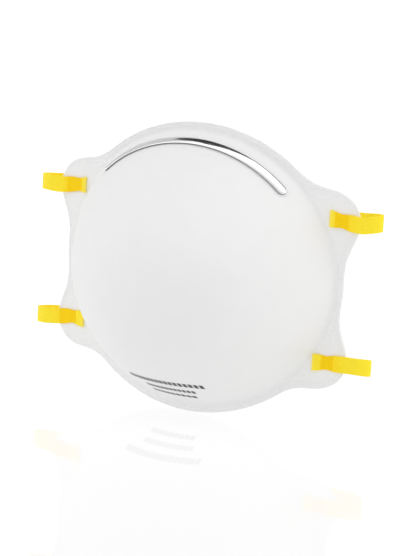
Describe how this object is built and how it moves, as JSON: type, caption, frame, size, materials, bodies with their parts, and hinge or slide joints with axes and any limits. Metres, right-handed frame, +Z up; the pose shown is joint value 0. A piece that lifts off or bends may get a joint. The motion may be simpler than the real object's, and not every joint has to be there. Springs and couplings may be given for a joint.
{
  "type": "disposable dust mask",
  "caption": "Cup-shaped disposable dust mask: layered dome with a flat welded rim and strap tabs, a bendable nose clip, an inner foam seal and two elastic head straps.",
  "frame": {"origin": "middle of the rim's plane, on its front face", "axes": "+Z up as worn, -Y the way the wearer looks, +Y towards the face, +X the wearer's left"},
  "size_m": [0.17, 0.0735, 0.1244],
  "materials": {
    "cover_web": "matt white polyester non-woven, moulded, faint felted fibre",
    "filter_web": "matt white melt-blown polypropylene web",
    "moulded_shell": "white needle-felt polyester, heat moulded and stiff",
    "lining_web": "smooth soft white spunbonded non-woven",
    "aluminium": "bright rolled aluminium strip, half-round ends",
    "adhesive": "translucent cream hot-melt film",
    "foam": "soft open-cell off-white polyurethane foam",
    "tape": "thin double-sided mounting tape",
    "yellow_elastic": "ribbed braided elastic, bright yellow",
    "welded_elastic": "the same elastic, flattened and darker where it is welded"
  },
  "bodies": {
    "root": {"outer_cover": "cover_web", "filter_layer": "filter_web", "support_shell": "moulded_shell", "inner_lining": "lining_web", "nose_clip": "aluminium", "clip_adhesive": "adhesive", "nose_foam": "foam", "foam_tape": "tape", "upper_strap_left_weld": "welded_elastic", "upper_strap_right_weld": "welded_elastic", "lower_strap_left_weld": "welded_elastic", "lower_strap_right_weld": "welded_elastic"},
    "upper_loop": {"upper_strap_left_leg": "yellow_elastic", "upper_strap_right_leg": "yellow_elastic"},
    "upper_stretch": {"upper_strap_band": "yellow_elastic"},
    "lower_loop": {"lower_strap_left_leg": "yellow_elastic", "lower_strap_right_leg": "yellow_elastic"},
    "lower_stretch": {"lower_strap_band": "yellow_elastic"}
  },
  "joints": [
    {"name": "upper_strap_swing", "type": "hinge", "parent": "root", "child": "upper_loop", "pos_m": [0, 0.00399, 0.0257], "axis": [1, 0, 0], "range_deg": [-45, 45], "stiffness_Nm_per_rad": 0.005},
    {"name": "upper_strap_stretch", "type": "slide", "parent": "upper_loop", "child": "upper_stretch", "axis": [0, 1, 0], "range_m": [0, 0.13], "stiffness_N_per_m": 12},
    {"name": "lower_strap_swing", "type": "hinge", "parent": "root", "child": "lower_loop", "pos_m": [0, 0.00362, -0.0342], "axis": [1, 0, 0], "range_deg": [-45, 45], "stiffness_Nm_per_rad": 0.005},
    {"name": "lower_strap_stretch", "type": "slide", "parent": "lower_loop", "child": "lower_stretch", "axis": [0, 1, 0], "range_m": [0, 0.13], "stiffness_N_per_m": 12}
  ]
}
